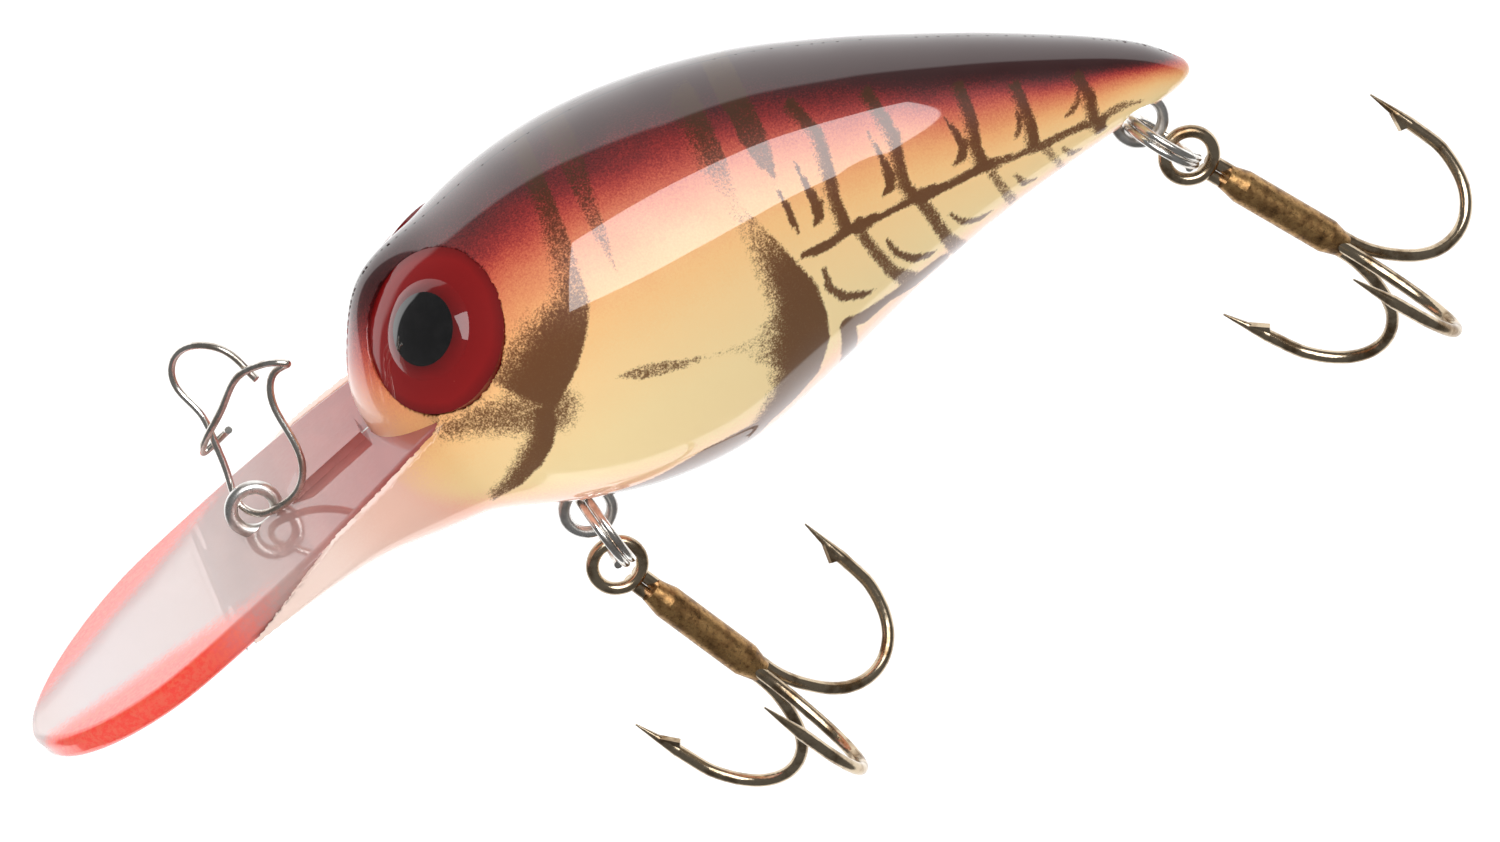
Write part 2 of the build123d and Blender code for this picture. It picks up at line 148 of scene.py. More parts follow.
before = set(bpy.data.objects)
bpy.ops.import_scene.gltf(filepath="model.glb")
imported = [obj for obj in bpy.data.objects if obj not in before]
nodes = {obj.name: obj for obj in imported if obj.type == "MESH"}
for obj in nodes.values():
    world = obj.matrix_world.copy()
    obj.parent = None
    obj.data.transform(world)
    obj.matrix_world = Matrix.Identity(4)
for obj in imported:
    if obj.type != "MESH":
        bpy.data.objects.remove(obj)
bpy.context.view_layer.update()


# ================================================================ the camera
def direction(azimuth, elevation):
    return Vector((math.sin(azimuth) * math.cos(elevation), -math.cos(azimuth) * math.cos(elevation),
                   math.sin(elevation)))


def aim(obj, at, toward):
    obj.location = at
    obj.rotation_mode = "QUATERNION"
    obj.rotation_quaternion = (toward - at).to_track_quat("-Z", "Y")


def add_camera():
    back = direction(VIEW_AZIMUTH, VIEW_ELEVATION)
    right = Vector((math.cos(VIEW_AZIMUTH), math.sin(VIEW_AZIMUTH), 0))
    up = back.cross(right)
    target = right * AIM_RIGHT + up * AIM_UP
    data = bpy.data.cameras.new("view_camera")
    data.lens = LENS
    data.sensor_width = SENSOR
    data.clip_start = 0.02
    data.clip_end = 20.0
    camera = bpy.data.objects.new("view_camera", data)
    bpy.context.scene.collection.objects.link(camera)
    aim(camera, target + back * (VIEW_WIDTH * LENS / SENSOR), target)
    bpy.context.scene.camera = camera


add_camera()


# ================================================================ node helpers
def srgb(r, g, b):
    """A display colour, 0 to 255, as the linear colour that a shader takes."""
    out = []
    for v in (r, g, b):
        v = v / 255.0
        out.append(v / 12.92 if v <= 0.04045 else ((v + 0.055) / 1.055) ** 2.4)
    return (*out, 1.0)


class Nodes:
    """Builds one material's node tree with short calls."""

    def __init__(self, name):
        self.material = bpy.data.materials.new(name)
        self.material.use_nodes = True
        self.tree = self.material.node_tree
        self.tree.nodes.clear()
        self.output = self.tree.nodes.new("ShaderNodeOutputMaterial")

    def put(self, socket, value):
        if isinstance(value, bpy.types.NodeSocket):
            self.tree.links.new(value, socket)
        else:
            socket.default_value = value

    def add(self, kind, out=0, settings=None, **inputs):
        node = self.tree.nodes.new(kind)
        for key, value in (settings or {}).items():
            setattr(node, key, value)
        for key, value in inputs.items():
            name = key.replace("_", " ")
            socket = node.inputs[int(key[1:])] if key[0] == "i" and key[1:].isdigit() else node.inputs[name]
            self.put(socket, value)
        return node.outputs[out]

    def math(self, operation, a, b=0.0, clamp=False):
        return self.add("ShaderNodeMath", settings={"operation": operation, "use_clamp": clamp}, i0=a, i1=b)

    def vector(self, operation, a, b=(0, 0, 0), out=0):
        return self.add("ShaderNodeVectorMath", out, {"operation": operation}, i0=a, i1=b)

    def smooth(self, value, low, high, to_low=0.0, to_high=1.0):
        return self.add("ShaderNodeMapRange", settings={"interpolation_type": "SMOOTHSTEP"},
                        i0=value, i1=low, i2=high, i3=to_low, i4=to_high)

    def mix(self, factor, a, b, blend="MIX"):
        node = self.tree.nodes.new("ShaderNodeMix")
        node.data_type = "RGBA"
        node.blend_type = blend
        self.put(node.inputs[0], factor)
        self.put(node.inputs[6], a)
        self.put(node.inputs[7], b)
        return node.outputs[2]

    def place(self):
        return self.add("ShaderNodeTexCoord", 3)

    def noise(self, size, detail=2.0, roughness=0.5, vector=None):
        """Noise whose blotches are about size millimetres across."""
        return self.add("ShaderNodeTexNoise", 0, Vector=vector or self.place(), Scale=1.0 / (size * MM),
                        Detail=detail, Roughness=roughness)

    def attribute(self, name):
        return self.add("ShaderNodeAttribute", 2, {"attribute_name": name})

    def ramp(self, value, stops):
        node = self.tree.nodes.new("ShaderNodeValToRGB")
        self.put(node.inputs[0], value)
        while len(node.color_ramp.elements) < len(stops):
            node.color_ramp.elements.new(0.5)
        for element, (position, colour) in zip(node.color_ramp.elements, stops):
            element.position = position
            element.color = colour
        return node.outputs[0]

    def bump(self, height, strength, distance):
        return self.add("ShaderNodeBump", Height=height, Strength=strength, Distance=distance)

    def shader(self, **inputs):
        node = self.tree.nodes.new("ShaderNodeBsdfPrincipled")
        for key, value in inputs.items():
            self.put(node.inputs[key.replace("_", " ")], value)
        return node.outputs[0]

    def finish(self, shader):
        self.tree.links.new(shader, self.output.inputs["Surface"])
        return self.material


# ================================================================ the painted body
def hermite(x, xs, ys):
    xs = np.asarray(xs, float)
    ys = np.asarray(ys, float)
    step = np.diff(xs)
    rise = np.diff(ys) / step
    slope = np.empty_like(ys)
    slope[1:-1] = (rise[:-1] * step[1:] + rise[1:] * step[:-1]) / (step[1:] + step[:-1])
    slope[0] = rise[0]
    slope[-1] = rise[-1]
    i = np.clip(np.searchsorted(xs, x) - 1, 0, len(xs) - 2)
    w = xs[i + 1] - xs[i]
    t = (x - xs[i]) / w
    return ((1 + 2 * t) * (1 - t)**2 * ys[i] + t * (1 - t)**2 * w * slope[i]
            + t * t * (3 - 2 * t) * ys[i + 1] + t * t * (t - 1) * w * slope[i + 1])


def station_angle(s):
    return np.arccos(np.clip(1 - 2 * s / LENGTH, -1, 1))


ANGLES = [0.0] + [float(station_angle(row[0])) for row in SECTIONS] + [math.pi]
WIDTHS = [0.0] + [row[3] for row in SECTIONS] + [0.0]
HEIGHTS = [0.0] + [(row[1] - row[2]) / 2 for row in SECTIONS] + [0.0]
CENTRES = [NOSE_HEIGHT] + [(row[1] + row[2]) / 2 for row in SECTIONS] + [TAIL_HEIGHT]


def to_row(s, y, t):
    """Body side view coordinates to the row frame, in millimetres."""
    c, n = math.cos(PITCH), math.sin(PITCH)
    return NOSE[0] + s * c - t * n, y, NOSE[2] + s * n + t * c


def section_at(s):
    a = station_angle(s)
    return (np.maximum(hermite(a, ANGLES, WIDTHS), 0.02), np.maximum(hermite(a, ANGLES, HEIGHTS), 0.02),
            hermite(a, ANGLES, CENTRES))


def body_field(s, y, t):
    w, h, c = section_at(s)
    f = (np.sqrt((y / w)**2 + ((t - c) / h)**2) - 1) * np.minimum(w, h)
    past = np.maximum(np.maximum(-s, s - LENGTH), 0)
    return np.where(past > 0, np.maximum(f, past), f)


def smooth_union(a, b, k):
    h = np.clip(0.5 + 0.5 * (b - a) / k, 0, 1)
    return b * (1 - h) + a * h - k * h * (1 - h)


def lip_place(x, z):
    c, n = math.cos(LIP_SLOPE), math.sin(LIP_SLOPE)
    dx, dz = x - LIP_ROOT[0], z - LIP_ROOT[2]
    return -dx * c - dz * n, -dx * n + dz * c


def chin_field(x, y, z):
    p, n = lip_place(x, z)
    deep = hermite(np.clip(p, CHIN_BACK, CHIN_FRONT), *zip(*CHIN_DEPTH))
    wide = hermite(np.clip(p, CHIN_BACK, CHIN_FRONT), *zip(*CHIN_WIDTH))
    g = np.maximum(-LIP_THICKNESS - n, 0)
    f = ((np.abs(y) / wide)**3.4 + (g / np.maximum(deep, 0.05))**2)**0.4 - 1
    f = f * np.minimum(deep, wide) * 0.8
    # its rim rises beside the edge of the lip, and sinks toward the tip
    rise = np.interp(p, (CHIN_BACK, 4.0, CHIN_FRONT), (CHIN_RISE, CHIN_RISE, 0.1))
    return np.maximum(np.maximum(f, n + LIP_THICKNESS - rise), np.maximum(p - CHIN_FRONT, CHIN_BACK - p))


def lip_room(x, y, z):
    """The space over the lip's underside that the chin leaves free, between its two rims."""
    p, n = lip_place(x, z)
    edge = np.interp(p, *zip(*LIP_EDGE))
    return np.maximum(np.maximum(np.abs(y) - edge, -LIP_THICKNESS - n), CHIN_BACK - p)


def socket_field(x, y, z):
    d = np.stack([x - EYE_CENTRE[0], np.abs(y) - EYE_CENTRE[1], z - EYE_CENTRE[2]], -1)
    along = d @ EYE_NORMAL
    radial = np.linalg.norm(d - along[..., None] * EYE_NORMAL, axis=-1)
    return np.maximum(radial - SOCKET_RADIUS, SOCKET_DEPTH - along)


def outer_field(s, y, t):
    """Signed distance, roughly, to the painted outside of the body, with its eye sockets and cut-outs."""
    x, y, z = to_row(s, y, t)
    # the brow stands a little fuller between the eyes
    away = (s - BROW_PLACE[0])**2 + (t - BROW_PLACE[1])**2
    brow = BROW * np.exp(-(y / BROW_HALF_WIDTH)**2 - away / BROW_SPREAD)
    body = body_field(s, y, t) - brow
    f = smooth_union(body, chin_field(x, y, z), CHIN_BLEND)
    f = np.minimum(body, np.maximum(f, -lip_room(x, y, z)))
    f = np.maximum(f, -socket_field(x, y, z))
    for ex, ez in RELIEFS:
        rod = np.maximum(np.hypot(x - ex, z - ez) - RELIEF_RADIUS, np.abs(y) - RELIEF_HALF)
        f = np.maximum(f, -rod)
    return f


def shell_field(s, y, t):
    x, _, z = to_row(s, y, t)
    cavity = np.maximum(body_field(s, y, t) + WALL, 1.0 - socket_field(x, y, z))
    cavity = np.maximum(cavity, np.maximum(CAVITY_ENDS[0] - s, s - CAVITY_ENDS[1]))
    return np.maximum(outer_field(s, y, t), -cavity)


def gradient(field, s, y, t, e=0.03):
    g = np.stack([field(s + e, y, t) - field(s - e, y, t), field(s, y + e, t) - field(s, y - e, t),
                  field(s, y, t + e) - field(s, y, t - e)], -1) / (2 * e)
    return g


def surface_net(values, low, step):
    """Vertices and four-sided faces of the surface where values is 0, on a regular grid."""
    inside = values < 0
    cells = tuple(n - 1 for n in values.shape)
    total = np.zeros((3, *cells))
    count = np.zeros(cells)
    grid = np.indices(values.shape).astype(float)
    crossings = []
    for axis in range(3):
        head = [slice(None)] * 3
        tail = [slice(None)] * 3
        head[axis] = slice(None, -1)
        tail[axis] = slice(1, None)
        a, b = values[tuple(head)], values[tuple(tail)]
        cross = inside[tuple(head)] != inside[tuple(tail)]
        crossings.append(cross)
        part = np.where(cross, a / np.where(cross, a - b, 1.0), 0.0)
        others = [k for k in range(3) if k != axis]
        for du in (0, 1):
            for dv in (0, 1):
                pick = [slice(None)] * 3
                for k, d in zip(others, (du, dv)):
                    pick[k] = slice(d, d + cells[k])
                pick = tuple(pick)
                hit = cross[pick]
                count += hit
                for k in range(3):
                    corner = grid[k][tuple(head)][pick]
                    total[k] += np.where(hit, corner + (part[pick] if k == axis else 0), 0)
    used = count > 0
    index = np.full(cells, -1)
    index[used] = np.arange(used.sum())
    points = np.stack([total[k][used] / count[used] for k in range(3)], -1) * step + low
    faces = []
    for axis in range(3):
        u, v = [k for k in range(3) if k != axis]
        where = np.argwhere(crossings[axis])
        keep = (where[:, u] > 0) & (where[:, v] > 0) & (where[:, u] < cells[u]) & (where[:, v] < cells[v])
        where = where[keep]
        corners = []
        for du, dv in ((1, 1), (0, 1), (0, 0), (1, 0)):
            at = where.copy()
            at[:, u] -= du
            at[:, v] -= dv
            corners.append(index[tuple(at.T)])
        quad = np.stack(corners, -1)
        flip = ~inside[tuple(where.T)]
        if axis == 1:
            flip = ~flip
        quad[flip] = quad[flip][:, ::-1]
        faces.append(quad)
    return points, np.concatenate(faces)


# ---------------------------------------------------------------- paint, worked out over the side view
def smoothstep(x, low, high):
    u = np.clip((x - low) / (high - low), 0, 1)
    return u * u * (3 - 2 * u)


def along_line(s, t, points, *values):
    """Distance to a line in side view, its side, the distance past its ends, and the values on it."""
    best = np.full(s.shape, 1e9)
    side = np.zeros(s.shape)
    past = np.zeros(s.shape)
    found = [np.zeros(s.shape) for _ in values]
    last = len(points) - 2
    for i in range(len(points) - 1):
        (s0, t0), (s1, t1) = points[i], points[i + 1]
        ds, dt = s1 - s0, t1 - t0
        size = math.hypot(ds, dt)
        raw = ((s - s0) * ds + (t - t0) * dt) / size**2
        u = np.clip(raw, 0, 1)
        d = np.hypot(s - s0 - u * ds, t - t0 - u * dt)
        near = d < best
        best = np.where(near, d, best)
        cross = ds * (t - t0) - dt * (s - s0)
        side = np.where(near, np.sign(cross), side)
        over = np.zeros(s.shape)
        if i == 0:
            over = np.maximum(over, -raw * size)
        if i == last:
            over = np.maximum(over, (raw - 1) * size)
        past = np.where(near, over, past)
        for k, value in enumerate(values):
            found[k] = np.where(near, value[i] + u * (value[i + 1] - value[i]), found[k])
    return best, side, past, found


def one_sided(s, t, points, soft, strength, crisp=0.13, fade=0.6):
    d, side, past, (width, power) = along_line(s, t, points, soft, strength)
    inward = np.where(side > 0, -d, d)
    body = smoothstep(inward, -crisp, crisp) * (1 - smoothstep(inward, 0.3 * width, width))
    return power * body * (1 - smoothstep(past, 0, fade))


def mark(s, t, points, widths, soft, strength):
    d, _, _, (width,) = along_line(s, t, points, widths)
    return strength * (1 - smoothstep(d - width, -soft * 0.5, soft * 0.5))


def ink_density(s, t):
    ink = one_sided(s, t, *EYE_BAND)
    ink = np.maximum(ink, one_sided(s, t, *EYE_LOBE))
    ink = np.maximum(ink, one_sided(s, t, *FRONT_ZONE))
    for points in PLATE_EDGES:
        count = len(points)
        ink = np.maximum(ink, one_sided(s, t, points, [1.3] * count, [0.9] * (count - 1) + [1.0], fade=0.3))
    for points, widths, soft, strength in MARKS:
        ink = np.maximum(ink, mark(s, t, points, widths, soft, strength))
    return ink


def back_rise(s, t):
    """How far a point is below the dark back, stretched toward the tail where the fade is shorter."""
    edge = np.interp(s, *zip(*BACK_EDGE))
    stretch = np.interp(s, [0, 20, 30, 38, 44, 48], [0.85, 1.0, 1.2, 1.8, 3.0, 6.0])
    return (t - edge) * stretch


def build_half_mesh():
    low = np.array([-12.3, -10.3, -12.1])
    high = np.array([51.1, 0.5, 12.1])
    shape = np.ceil((high - low) / CELL).astype(int) + 1
    # the grid is laid so that the seam plane falls halfway between two of its layers
    low[1] = -CELL * (shape[1] - 2.5)
    s, y, t = [low[k] + CELL * np.arange(shape[k]) for k in range(3)]
    s, y, t = np.meshgrid(s, y, t, indexing="ij")
    values = np.maximum(shell_field(s, y, t), y)
    points, faces = surface_net(values, low, CELL)
    s, y, t = points.T
    rim = y > -0.4 * CELL
    for _ in range(3):
        f = shell_field(s, y, t)
        g = gradient(shell_field, s, y, t)
        g[rim, 1] = 0
        size = np.maximum((g**2).sum(-1), 0.15)
        flat = rim & (np.abs(f) > 0.6 * CELL)
        step = np.where(flat, 0, np.clip(f / size, -0.12, 0.12))
        s, y, t = s - step * g[:, 0], y - step * g[:, 1], t - step * g[:, 2]
    y = np.where(rim, 0, y)
    flat = rim & (np.abs(shell_field(s, y, t)) > 0.05)
    normal = gradient(shell_field, s, y, t)
    normal /= np.maximum(np.linalg.norm(normal, axis=-1, keepdims=True), 1e-6)
    normal[flat] = (0, 1, 0)
    normal[rim & ~flat, 1] = 0
    return np.stack([s, y, t], -1), normal, faces


def add_half(name, side, points, normal, faces):
    s, y, t = points.T
    x, _, z = to_row(s, y, t)
    c, n = math.cos(PITCH), math.sin(PITCH)
    co = np.stack([x, -side * y, z], -1) * MM
    turned = np.stack([normal[:, 0] * c - normal[:, 2] * n, -side * normal[:, 1],
                       normal[:, 0] * n + normal[:, 2] * c], -1)
    turned /= np.maximum(np.linalg.norm(turned, axis=-1, keepdims=True), 1e-6)
    corners = faces if side < 0 else faces[:, ::-1]
    mesh = bpy.data.meshes.new(name)
    mesh.from_pydata(co.tolist(), [], corners.tolist())
    mesh.update()
    mesh.polygons.foreach_set("use_smooth", np.ones(len(corners), bool))
    mesh.normals_split_custom_set_from_vertices(turned.tolist())
    _, height, middle = section_at(s)
    p, lip_normal = lip_place(x, z)
    layers = {
        "rise": back_rise(s, t),
        "ink": ink_density(s, t),
        "round": (t - middle) / height,
        "forward": p,
        "under": lip_normal,
    }
    for key, value in layers.items():
        mesh.attributes.new(key, "FLOAT", "POINT").data.foreach_set("value", value.astype(np.float32))
    obj = bpy.data.objects.new(name, mesh)
    bpy.context.scene.collection.objects.link(obj)
    return obj


RISE_LOW = -14.0
RISE_SPAN = 15.0
PAINT_RAMP = [
    (-13.0, (242, 216, 160)), (-9.0, (246, 208, 148)), (-6.7, (248, 197, 133)), (-5.0, (243, 174, 114)),
    (-3.6, (228, 140, 92)), (-2.4, (208, 100, 70)), (-1.7, (184, 68, 54)), (-1.1, (150, 44, 42)),
    (-0.5, (112, 32, 33)), (0.1, (72, 22, 24)), (0.8, (52, 17, 18)),
]


def paint_material():
    m = Nodes("painted_shell")
    place = m.place()
    grain = m.noise(0.11, 2.0, 0.6, place)
    fine = m.noise(0.3, 2.0, 0.5, place)
    cloud = m.noise(3.2, 2.0, 0.5, place)
    rise = m.attribute("rise")
    # sprayed red and maroon over the cream, grainy where it thins out
    jitter = m.math("MULTIPLY", m.math("SUBTRACT", grain, 0.5), 2.4)
    jitter = m.math("ADD", jitter, m.math("MULTIPLY", m.math("SUBTRACT", cloud, 0.5), 1.1))
    level = m.math("DIVIDE", m.math("SUBTRACT", m.math("ADD", rise, jitter), RISE_LOW), RISE_SPAN, True)
    stops = [((v - RISE_LOW) / RISE_SPAN, srgb(*colour)) for v, colour in PAINT_RAMP]
    colour = m.ramp(level, stops)
    # pink belly and the pale chin that carries the lip
    belly = m.math("ADD", m.attribute("round"), m.math("MULTIPLY", m.math("SUBTRACT", grain, 0.5), 0.25))
    colour = m.mix(m.smooth(belly, -0.60, -0.92), colour, srgb(244, 176, 148))
    forward = m.math("ADD", m.attribute("forward"), m.math("MULTIPLY", m.math("SUBTRACT", grain, 0.5), 1.6))
    colour = m.mix(m.smooth(forward, -3.2, 0.6, 0.0, 0.85), colour, srgb(240, 196, 178))
    colour = m.mix(m.smooth(forward, 0.5, 6.0, 0.0, 0.8), colour, srgb(250, 226, 214))
    # brown airbrush: dots that join up as the spray gets denser
    ink = m.attribute("ink")
    patchy = m.math("ADD", ink, m.math("MULTIPLY", m.math("SUBTRACT", grain, 0.5), 0.8))
    speckle = m.math("MULTIPLY", m.math("SUBTRACT", grain, 0.5), 1.5)
    speckle = m.math("ADD", speckle, m.math("MULTIPLY", m.math("SUBTRACT", fine, 0.5), 0.7))
    spread = m.math("MULTIPLY", m.math("MULTIPLY", ink, 4.0), m.math("SUBTRACT", 1.04, ink), True)
    cover = m.smooth(m.math("ADD", ink, m.math("MULTIPLY", speckle, spread)), 0.2, 0.84)
    cover = m.math("MULTIPLY", cover, m.smooth(patchy, 0.2, 1.0, 0.72, 0.97))
    dark = m.mix(0.6, m.mix(1.0, colour, srgb(124, 84, 48), "MULTIPLY"), srgb(82, 48, 18))
    colour = m.mix(cover, colour, dark)
    # the two halves meet in a fine line
    across = m.math("ABSOLUTE", m.add("ShaderNodeSeparateXYZ", 1, Vector=place))
    seam = m.smooth(across, 0.03 * MM, 0.11 * MM)
    colour = m.mix(m.math("SUBTRACT", 1.0, seam), colour, m.mix(1.0, colour, srgb(150, 120, 110), "MULTIPLY"))
    # small pits and nibs under the clear coat
    nibs = m.add("ShaderNodeTexVoronoi", 0, Vector=place, Scale=420.0)
    nib = m.smooth(nibs, 0.0, 0.085, 1.0, 0.0)
    height = m.math("ADD", m.math("MULTIPLY", grain, 0.25), m.math("MULTIPLY", seam, 1.0))
    height = m.math("ADD", height, m.math("MULTIPLY", nib, 0.6))
    bump = m.bump(height, 0.06, 0.02 * MM)
    rough = m.smooth(cloud, 0.3, 0.7, 0.30, 0.42)
    return m.finish(m.shader(
        Base_Color=colour, Roughness=rough, Specular_IOR_Level=0.2, Coat_Weight=1.0, Coat_Roughness=0.02,
        Coat_IOR=1.6, Normal=bump))


def build_body():
    points, normal, faces = build_half_mesh()
    paint = paint_material()
    for name, side, node, slot in (("painted_left", -1, "body_shell_left", "left_shell"),
                                   ("painted_right", 1, "body_shell_right", "right_shell")):
        half = add_half(name, side, points, normal, faces)
        half.data.materials.append(paint)
        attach(half, "lure_body")
        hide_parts(node)


build_body()


# ================================================================ materials of the carried-over pieces
def steel_material(name, tint, rough, wear_tint):
    """Plated round wire: drawing marks, faint stains and duller patches."""
    m = Nodes(name)
    place = m.place()
    stain = m.noise(1.6, 3.0, 0.6, place)
    fine = m.noise(0.12, 2.0, 0.6, place)
    colour = m.mix(m.smooth(stain, 0.42, 0.68), srgb(*tint), srgb(*wear_tint))
    colour = m.mix(m.smooth(fine, 0.55, 0.8, 0.0, 0.25), colour, srgb(*[v * 0.6 for v in tint]))
    roughness = m.smooth(stain, 0.3, 0.7, rough, rough + 0.14)
    bump = m.bump(fine, 0.12, 0.01 * MM)
    return m.finish(m.shader(Base_Color=colour, Metallic=1.0, Roughness=roughness, Normal=bump))


def braze_material():
    """Poured braze: golden, pitted and streaked, darker in its hollows."""
    m = Nodes("hook_braze_gold")
    place = m.place()
    lump = m.noise(0.9, 4.0, 0.65, place)
    pit = m.noise(0.25, 3.0, 0.7, place)
    colour = m.ramp(lump, [(0.30, srgb(86, 62, 36)), (0.45, srgb(146, 110, 68)), (0.58, srgb(178, 140, 90)),
                           (0.72, srgb(116, 82, 46))])
    colour = m.mix(m.smooth(pit, 0.52, 0.72, 0.0, 0.7), colour, srgb(84, 58, 26))
    height = m.math("ADD", m.math("MULTIPLY", lump, 0.7), m.math("MULTIPLY", pit, 0.5))
    return m.finish(m.shader(Base_Color=colour, Metallic=0.85, Roughness=m.smooth(pit, 0.3, 0.7, 0.25, 0.5),
                             Normal=m.bump(height, 0.3, 0.06 * MM)))


def lip_material():
    """Clear moulded lip: pink stain by the body, orange spray on both corners of the tip."""
    m = Nodes("clear_lip_plastic")
    place = m.place()
    c, n = math.cos(LIP_SLOPE), math.sin(LIP_SLOPE)
    offset = m.vector("SUBTRACT", place, tuple(LIP_ROOT * MM))
    forward = m.vector("DOT_PRODUCT", offset, (-c / MM, 0, -n / MM), 1)
    side = m.vector("DOT_PRODUCT", offset, (0, 1 / MM, 0), 1)
    grain = m.noise(0.3, 3.0, 0.65, place)
    cloud = m.noise(2.6, 2.0, 0.5, place)
    loose = m.math("MULTIPLY", m.math("SUBTRACT", grain, 0.5), 4.0)
    loose = m.math("ADD", loose, m.math("MULTIPLY", m.math("SUBTRACT", cloud, 0.5), 2.0))
    tint = m.ramp(m.math("DIVIDE", m.math("ADD", forward, m.math("MULTIPLY", loose, 0.4)), 26.0, True), [
        (0.0, srgb(206, 120, 116)), (0.14, srgb(220, 156, 150)), (0.30, srgb(228, 196, 190)),
        (0.5, srgb(232, 216, 213)), (0.8, srgb(236, 224, 224)), (1.0, srgb(240, 222, 218))])
    # orange: a corner each side of the tip, reaching back along the edges
    reach = m.math("ABSOLUTE", side)
    rim = m.math("SUBTRACT", reach, m.add("ShaderNodeMapRange", i0=forward, i1=10.0, i2=24.0, i3=7.2, i4=2.2))
    spray = m.smooth(m.math("ADD", rim, m.math("MULTIPLY", loose, 0.45)), -0.6, 1.6)
    spray = m.math("MULTIPLY", spray, m.smooth(m.math("ADD", forward, loose), 7.0, 14.0))
    glass = m.shader(Base_Color=tint, Roughness=0.04, IOR=1.49, Transmission_Weight=0.5,
                     Normal=m.bump(m.math("ADD", m.math("MULTIPLY", cloud, 1.0), grain), 0.05, 0.05 * MM))
    orange = m.mix(m.smooth(grain, 0.35, 0.65), srgb(248, 46, 18), srgb(246, 84, 54))
    paint = m.shader(Base_Color=orange, Roughness=0.25, Coat_Weight=1.0, Coat_Roughness=0.03, IOR=1.49)
    mixed = m.tree.nodes.new("ShaderNodeMixShader")
    m.put(mixed.inputs[0], m.math("MULTIPLY", spray, 0.92))
    m.put(mixed.inputs[1], glass)
    m.put(mixed.inputs[2], paint)
    return m.finish(mixed.outputs[0])


def eye_material(name, side):
    """Deep red moulded eye with faint turned rings under a thick clear coat."""
    m = Nodes(name)
    place = m.place()
    centre = Vector((EYE_CENTRE[0], side * EYE_CENTRE[1], EYE_CENTRE[2])) * MM
    normal = Vector((EYE_NORMAL[0], side * EYE_NORMAL[1], EYE_NORMAL[2]))
    offset = m.vector("SUBTRACT", place, tuple(centre))
    radius = m.vector("LENGTH", m.vector("CROSS_PRODUCT", offset, tuple(normal)), out=1)
    radius = m.math("DIVIDE", radius, MM)
    cloud = m.noise(1.8, 3.0, 0.5, place)
    dust = m.add("ShaderNodeTexVoronoi", 0, Vector=place, Scale=1100.0)
    colour = m.ramp(m.math("DIVIDE", m.math("ADD", radius, m.math("MULTIPLY", cloud, 0.6)), 5.4, True), [
        (0.0, srgb(60, 6, 8)), (0.42, srgb(88, 12, 14)), (0.56, srgb(124, 16, 18)), (0.80, srgb(134, 18, 19)),
        (0.93, srgb(104, 12, 14)), (1.0, srgb(70, 8, 10))])
    colour = m.mix(m.smooth(dust, 0.0, 0.06, 0.25, 0.0), colour, srgb(210, 120, 110))
    rings = m.math("SINE", m.math("MULTIPLY", radius, 7.0))
    return m.finish(m.shader(
        Base_Color=colour, Roughness=0.5, Specular_IOR_Level=0.05, Coat_Weight=1.0, Coat_Roughness=0.01,
        Coat_IOR=1.5, Normal=m.bump(rings, 0.03, 0.02 * MM)))


def pupil_material():
    m = Nodes("pupil_gloss_black")
    cloud = m.noise(0.8, 3.0, 0.6)
    colour = m.mix(m.smooth(cloud, 0.4, 0.7), srgb(6, 6, 7), srgb(16, 15, 16))
    return m.finish(m.shader(Base_Color=colour, Roughness=m.smooth(cloud, 0.3, 0.7, 0.04, 0.09),
                             Coat_Weight=1.0, Coat_Roughness=0.01))


def finish_nodes():
    silver = steel_material("snap_steel", (232, 228, 222), 0.16, (190, 180, 168))
    ring = steel_material("ring_nickel", (236, 234, 230), 0.14, (196, 186, 176))
    tie = steel_material("tie_steel", (230, 228, 225), 0.24, (186, 180, 174))
    bronze = steel_material("hook_bronze", (196, 178, 152), 0.14, (124, 100, 72))
    ball = steel_material("rattle_ball_steel", (190, 190, 192), 0.2, (150, 150, 152))
    lead = steel_material("ballast_lead", (120, 122, 126), 0.5, (96, 98, 102))
    braze = braze_material()
    pupil = pupil_material()
    finishes = {
        "diving_lip": lip_material(), "line_tie_eye": tie, "snap": silver,
        "belly_hook_hanger": tie, "tail_hook_hanger": tie,
        "belly_split_ring": ring, "tail_split_ring": ring,
        "belly_double_hook": bronze, "belly_single_hook": bronze, "belly_hook_braze": braze,
        "tail_double_hook": bronze, "tail_single_hook": bronze, "tail_hook_braze": braze,
        "eye_disc_left": eye_material("eye_red_left", -1), "eye_disc_right": eye_material("eye_red_right", 1),
        "eye_pupil_left": pupil, "eye_pupil_right": pupil,
        "rattle_ball_front": ball, "rattle_ball_middle": ball, "rattle_ball_rear": ball,
        "ballast_weight": lead,
    }
    for name, material in finishes.items():
        mesh = nodes[name].data
        mesh.materials.clear()
        mesh.materials.append(material)


finish_nodes()


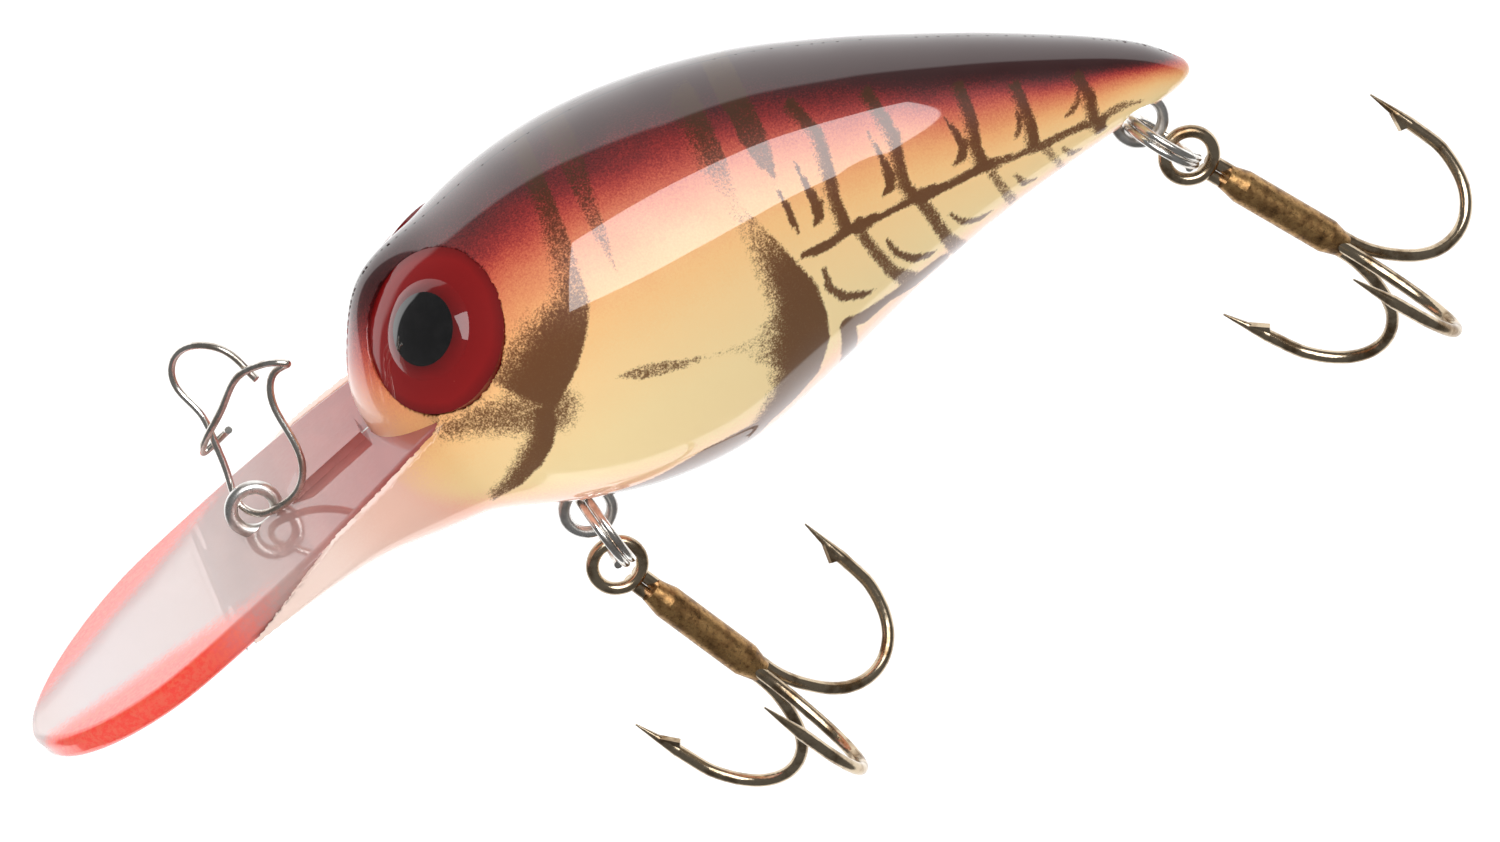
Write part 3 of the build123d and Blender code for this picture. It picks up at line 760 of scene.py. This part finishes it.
# ================================================================ floor and studio light
def add_floor():
    half = 3.0
    mesh = bpy.data.meshes.new("studio_floor")
    mesh.from_pydata([(-half, -half, FLOOR_HEIGHT), (half, -half, FLOOR_HEIGHT), (half, half, FLOOR_HEIGHT),
                      (-half, half, FLOOR_HEIGHT)], [], [(0, 1, 2, 3)])
    floor = bpy.data.objects.new("studio_floor", mesh)
    bpy.context.scene.collection.objects.link(floor)
    m = Nodes("studio_floor_paper")
    fibre = m.noise(1.5, 3.0, 0.6)
    colour = m.mix(m.smooth(fibre, 0.3, 0.7), srgb(248, 248, 248), srgb(253, 253, 253))
    floor.data.materials.append(m.finish(m.shader(
        Base_Color=colour, Roughness=0.8, Specular_IOR_Level=0.1,
        Emission_Color=(1, 1, 1, 1), Emission_Strength=0.25)))
    floor.visible_glossy = False


def add_softbox(name, azimuth, elevation, distance, width, height, radiance,
                roll=0.0, diffuse=True, glossy=True):
    data = bpy.data.lights.new(name, "AREA")
    data.shape = "RECTANGLE"
    data.size = width
    data.size_y = height
    data.energy = radiance * math.pi * width * height
    light = bpy.data.objects.new(name, data)
    bpy.context.scene.collection.objects.link(light)
    middle = Vector((0.025, 0, 0.01))
    aim(light, middle + direction(math.radians(azimuth), math.radians(elevation)) * distance, middle)
    turn = Matrix.Rotation(math.radians(roll), 4, "Z").to_quaternion()
    light.rotation_quaternion = light.rotation_quaternion @ turn
    light.visible_diffuse = diffuse
    light.visible_glossy = glossy


def set_world():
    world = bpy.data.worlds.new("studio_world")
    bpy.context.scene.world = world
    world.use_nodes = True
    tree = world.node_tree
    background = tree.nodes["Background"]
    coordinates = tree.nodes.new("ShaderNodeTexCoord")
    split = tree.nodes.new("ShaderNodeSeparateXYZ")
    tree.links.new(coordinates.outputs["Generated"], split.inputs[0])

    def math_node(operation, a, b):
        node = tree.nodes.new("ShaderNodeMath")
        node.operation = operation
        for socket, value in zip(node.inputs, (a, b)):
            if isinstance(value, bpy.types.NodeSocket):
                tree.links.new(value, socket)
            else:
                socket.default_value = value
        return node.outputs[0]

    lean = math_node("MINIMUM", math_node("ADD", split.outputs[0], 0.15), 0.0)
    depth = math_node("ADD", split.outputs[1], math_node("MULTIPLY", lean, 0.7))
    ramp = tree.nodes.new("ShaderNodeMapRange")
    ramp.interpolation_type = "SMOOTHSTEP"
    tree.links.new(depth, ramp.inputs[0])
    ramp.inputs[1].default_value = 0.03
    ramp.inputs[2].default_value = 0.10
    ramp.inputs[3].default_value = 0.16
    ramp.inputs[4].default_value = 1.4
    tree.links.new(ramp.outputs[0], background.inputs["Strength"])
    background.inputs["Color"].default_value = (1, 1, 1, 1)


def add_studio():
    add_floor()
    set_world()
    add_softbox("side_softbox", 3, 35, 0.6, 0.52, 0.40, 5.5, roll=10, diffuse=False)
    add_softbox("key_light", -35, 48, 1.0, 0.9, 0.9, 3.0, glossy=False)
    bpy.context.scene.view_settings.view_transform = "Standard"


add_studio()
